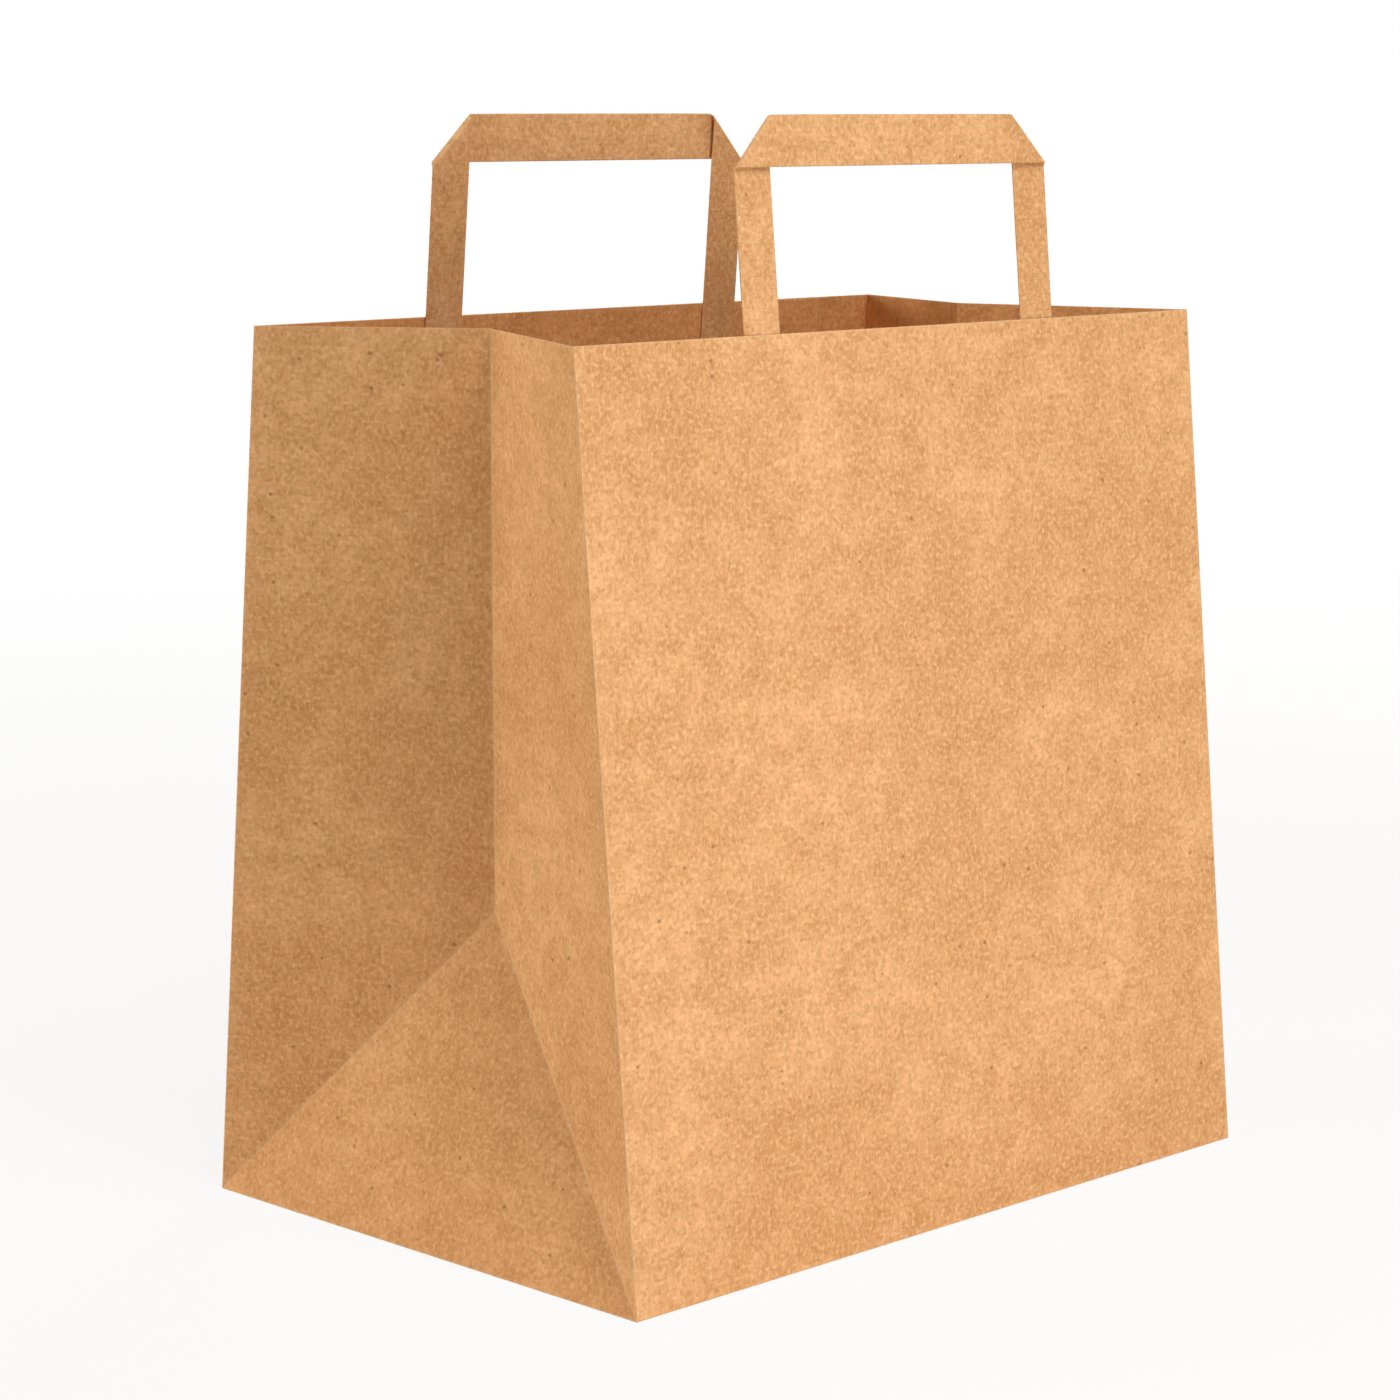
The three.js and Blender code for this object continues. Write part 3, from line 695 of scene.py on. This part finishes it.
# Uncoated machine-finished kraft: a matt sheet of unbleached fibres, cloudy over centimetres and mottled
# over a millimetre, with short pale fibres and a few dark specks of bark
def kraftPaper(name):
    tint, seed = kraft["papers"][name]
    material = bpy.data.materials.new(name)
    material.use_nodes = True
    tree = material.node_tree
    tree.nodes.clear()
    uv = addNode(tree, "ShaderNodeUVMap", uv_map="sheetUv").outputs[0]
    place = addNode(tree, "ShaderNodeMapping", {
        0: uv, "Location": (seed, seed * 0.7, 0), "Scale": (kraft["webStretch"], 1, 1),
    }).outputs[0]
    colour = linear(kraft["sheet"], tint)
    for key, size, octaves, falloff, low, high, share in kraft["pulp"]:
        pulp = addNode(tree, "ShaderNodeTexNoise", {
            "Vector": place, "Scale": 1 / (size * mm), "Detail": octaves, "Roughness": falloff,
        }, noise_dimensions="2D").outputs[0]
        amount = addNode(tree, "ShaderNodeMapRange", {0: pulp, 1: low, 2: high, 3: 0.0, 4: share},
                         interpolation_type="SMOOTHSTEP").outputs[0]
        colour = addNode(tree, "ShaderNodeMix", {0: amount, 6: colour, 7: linear(kraft[key], tint)},
                         data_type="RGBA").outputs[2]
    # Fibres that lie flat, about 1.9 by 0.6 mm, in three directions
    fibres = 0.0
    faint, clear = kraft["strokeLimits"]
    for turn in kraft["strokeTurns"]:
        laid = addNode(tree, "ShaderNodeMapping", {
            0: place, "Rotation": (0, 0, turn), "Scale": (kraft["strokeStretch"], 1, 1),
        }).outputs[0]
        stroke = addNode(tree, "ShaderNodeTexNoise", {
            "Vector": laid, "Scale": 1 / (kraft["strokeSize"] * mm), "Detail": 1.0,
        }, noise_dimensions="2D").outputs[0]
        shown = addNode(tree, "ShaderNodeMapRange", {
            0: stroke, 1: faint, 2: clear, 3: 0.0, 4: kraft["strokeShare"],
        }, interpolation_type="SMOOTHSTEP").outputs[0]
        fibres = addNode(tree, "ShaderNodeMath", {0: fibres, 1: shown}, operation="MAXIMUM").outputs[0]
    colour = addNode(tree, "ShaderNodeMix", {0: fibres, 6: colour, 7: linear(kraft["pale"], tint)},
                     data_type="RGBA").outputs[2]
    # Dark specks, up to 1.6 mm across, one to a few square centimetres
    cells = addNode(tree, "ShaderNodeTexVoronoi", {"Vector": place, "Scale": 1 / (kraft["speckCell"] * mm)},
                    voronoi_dimensions="2D").outputs
    chance = addNode(tree, "ShaderNodeSeparateColor", {0: cells["Color"]}).outputs[0]
    limit = addNode(tree, "ShaderNodeMapRange", {
        0: chance, 1: kraft["speckChance"], 2: 1.0, 3: 0.0, 4: kraft["speckSize"],
    }).outputs[0]
    inside = addNode(tree, "ShaderNodeMath", {0: limit, 1: cells["Distance"]},
                     operation="SUBTRACT").outputs[0]
    speck = addNode(tree, "ShaderNodeMapRange", {
        0: inside, 1: 0.0, 2: kraft["speckEdge"], 3: 0.0, 4: kraft["speckShare"],
    }).outputs[0]
    colour = addNode(tree, "ShaderNodeMix", {0: speck, 6: colour, 7: linear(kraft["speck"], tint)},
                     data_type="RGBA").outputs[2]
    # Raised, paler fibres where the paper is folded or cut
    worn = addNode(tree, "ShaderNodeAttribute", attribute_name="wear").outputs["Fac"]
    worn = addNode(tree, "ShaderNodeMath", {0: worn, 1: kraft["wearShare"]},
                   operation="MULTIPLY").outputs[0]
    colour = addNode(tree, "ShaderNodeMix", {0: worn, 6: colour, 7: linear(kraft["cut"], tint)},
                     data_type="RGBA").outputs[2]

    relief = addNode(tree, "ShaderNodeMath", {0: pulp, 1: fibres}, operation="ADD").outputs[0]
    strength, height = kraft["bump"]
    bump = addNode(tree, "ShaderNodeBump", {
        "Height": relief, "Strength": strength, "Distance": height * mm,
    }).outputs[0]
    (begin, end), (smooth, coarse) = kraft["roughLimits"], kraft["roughness"]
    rough = addNode(tree, "ShaderNodeMapRange", {
        0: pulp, 1: begin, 2: end, 3: smooth, 4: coarse,
    }).outputs[0]
    shader = addNode(tree, "ShaderNodeBsdfPrincipled", {
        "Base Color": colour, "Roughness": rough, "IOR": kraft["ior"],
        "Specular IOR Level": kraft["specularLevel"], "Normal": bump,
    }).outputs[0]
    addNode(tree, "ShaderNodeOutputMaterial", {0: shader})
    return material


sheetPaper, insidePaperWithPaintedShade, tapePaper, patchPaper = (kraftPaper(name) for name in kraft["papers"])
print("materials: kraft paper for both sides of the sheet, the tapes and the strips")

waveValues = {**{name: size * mm for name, size in waveShape.items()}, "Seed": waveSeed}
waves = wavesTree()
sheetPiece = settled(sheetOfBag(), waves, {**waveValues, "Material": sheetPaper})
sheetPiece = thickened(sheetPiece, bagShape["paper"], insidePaperWithPaintedShade)
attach(sheetPiece, "root")
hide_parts("bag_body")
print("sheet:", len(sheetPiece.data.polygons), "faces before its thickness")

tapeTree = foldedTapeTree(waves)
for name, end in (("front", -1), ("back", 1)):
    tape = settled(flatTape(name + "HandleTape"), tapeTree, {
        **waveValues,
        "Outside": (tapeShape["outside"] + tapeShape["gripTop"] - tapeShape["width"]) * mm,
        "Fold Radius": tapeShape["foldRadius"][name] * mm,
        "Level": tapeShape["level"] * mm,
        "Lean": lean,
        "Mouth Half Depth": bagShape["mouthDepth"] / 2 * mm,
        "Rim Height": rimHeight * mm,
        "Panel Length": bagShape["panelLength"] * mm,
        "End": float(end),
        "Grip Low": (tapeShape["gripTop"] - tapeShape["width"]) * mm,
        "Grip Tilt": tapeShape["gripTilt"],
        "Tilt Start": tapeShape["gripTiltStart"] * mm,
        "Slack": bagShape["rimSlack"],
        "Material": tapePaper,
    })
    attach(tape, "root")
    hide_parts(name + "_handle")
    strip = patchStrip(name + "PatchStrip", end)
    strip = thickened(settled(strip, waves, {**waveValues, "Material": patchPaper}), bagShape["paper"])
    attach(strip, "root")
    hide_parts(name + "_handle_patch")
    print(name, "handle:", len(tape.data.polygons), "faces, strip:", len(strip.data.polygons))


studio = {
    "floorColour": "#F4F4F4",
    "floorReach": 8.0,
    "ambientColour": (1.0, 0.74, 0.42, 1.0),  # the warm light that kraft paper gives back to itself
    "ambient": 0.155,
    "aim": (0.0, 0.0, 0.14),
    # Each lamp's place, size, power and colour
    "lamps": {
        "highKeyLight": ((-0.3, -0.6, 1.3), 0.5, 6.8, "#FFFFFF"),
        "farKeyLight": ((-0.17, -0.98, 1.2), 0.5, 4.5, "#FFFFFF"),
        "lowKeyLight": ((-0.1, -0.54, 0.1), 0.3, 0.75, "#FFFFFF"),
        "rightKeyLight": ((0.6, -0.4, 0.06), 0.3, 0.95, "#FFFFFF"),
        "leftGussetLight": ((-0.69, 1.1, 0.28), 0.6, 9.2, "#FFF7E7"),
        "rightGussetLight": ((1.2, 0.7, 0.5), 0.6, 5.0, "#FFF7E7"),
    },
    "whiteNear": 0.86,  # how much of the floor near the bag shows as plain white to the camera
    "whiteRun": (0.3, 1.6),  # from where to where the rest of the floor turns white
}


def seenDirectly(tree):
    path = addNode(tree, "ShaderNodeLightPath").outputs
    direct = addNode(tree, "ShaderNodeMath", {0: path["Is Camera Ray"], 1: path["Is Glossy Ray"]},
                     operation="MAXIMUM").outputs[0]
    return addNode(tree, "ShaderNodeMath", {0: direct, 1: path["Is Transmission Ray"]},
                   operation="MAXIMUM").outputs[0]


def whiteWorld():
    world = bpy.data.worlds.new("studioWorld")
    bpy.context.scene.world = world
    world.use_nodes = True
    tree = world.node_tree
    tree.nodes.clear()
    ambient = addNode(tree, "ShaderNodeBackground", {"Color": studio["ambientColour"],
                                                     "Strength": studio["ambient"]})
    white = addNode(tree, "ShaderNodeBackground", {"Color": (1, 1, 1, 1), "Strength": 1.0})
    both = addNode(tree, "ShaderNodeMixShader", {0: seenDirectly(tree), 1: ambient.outputs[0],
                                                 2: white.outputs[0]})
    addNode(tree, "ShaderNodeOutputWorld", {0: both.outputs[0]})


def paleFloor():
    material = bpy.data.materials.new("paleStudioFloor")
    material.use_nodes = True
    tree = material.node_tree
    tree.nodes.clear()
    place = addNode(tree, "ShaderNodeTexCoord").outputs["Object"]
    away = addNode(tree, "ShaderNodeVectorMath", {0: place}, operation="LENGTH").outputs["Value"]
    start, stop = studio["whiteRun"]
    share = addNode(tree, "ShaderNodeMapRange", {
        0: away, 1: start, 2: stop, 3: studio["whiteNear"], 4: 1.0,
    }, interpolation_type="SMOOTHSTEP").outputs[0]
    factor = addNode(tree, "ShaderNodeMath", {0: share, 1: seenDirectly(tree)},
                     operation="MULTIPLY").outputs[0]
    matt = addNode(tree, "ShaderNodeBsdfDiffuse", {"Color": linear(studio["floorColour"])})
    white = addNode(tree, "ShaderNodeEmission", {"Color": (1, 1, 1, 1), "Strength": 1.0})
    both = addNode(tree, "ShaderNodeMixShader", {0: factor, 1: matt.outputs[0], 2: white.outputs[0]})
    addNode(tree, "ShaderNodeOutputMaterial", {0: both.outputs[0]})
    mesh = bpy.data.meshes.new("studioFloor")
    reach = studio["floorReach"]
    corners = [(-reach, -reach, 0), (reach, -reach, 0), (reach, reach, 0), (-reach, reach, 0)]
    mesh.from_pydata(corners, [], [(0, 1, 2, 3)])
    mesh.materials.append(material)
    floor = bpy.data.objects.new("studioFloor", mesh)
    bpy.context.scene.collection.objects.link(floor)


whiteWorld()
paleFloor()
for name, (place, size, power, colour) in studio["lamps"].items():
    light = bpy.data.lights.new(name, "AREA")
    light.size = size
    light.energy = power
    light.color = linear(colour)[:3]
    lamp = bpy.data.objects.new(name, light)
    lamp.location = place
    lamp.rotation_euler = (Vector(studio["aim"]) - Vector(place)).to_track_quat("-Z", "Y").to_euler()
    lamp.visible_camera = False
    bpy.context.scene.collection.objects.link(lamp)

# Fitted to the bag's corners in the photo
view = {
    "place": (-0.8041, -0.7891, 0.3216),
    "yaw": 45.045,
    "pitch": -8.933,
    "lens": 96.86,
    "sensor": 36.0,
    "clipStart": 0.05,
}
yaw, pitch = math.radians(view["yaw"]), math.radians(view["pitch"])
ahead = Vector((math.cos(yaw) * math.cos(pitch), math.sin(yaw) * math.cos(pitch), math.sin(pitch)))
cameraData = bpy.data.cameras.new("photoCamera")
cameraData.lens = view["lens"]
cameraData.sensor_width = view["sensor"]
cameraData.clip_start = view["clipStart"]
camera = bpy.data.objects.new("photoCamera", cameraData)
camera.location = view["place"]
camera.rotation_euler = ahead.to_track_quat("-Z", "Y").to_euler()
bpy.context.scene.collection.objects.link(camera)
bpy.context.scene.camera = camera
bpy.context.scene.view_settings.view_transform = "Standard"
print("studio: floor, lights and camera")
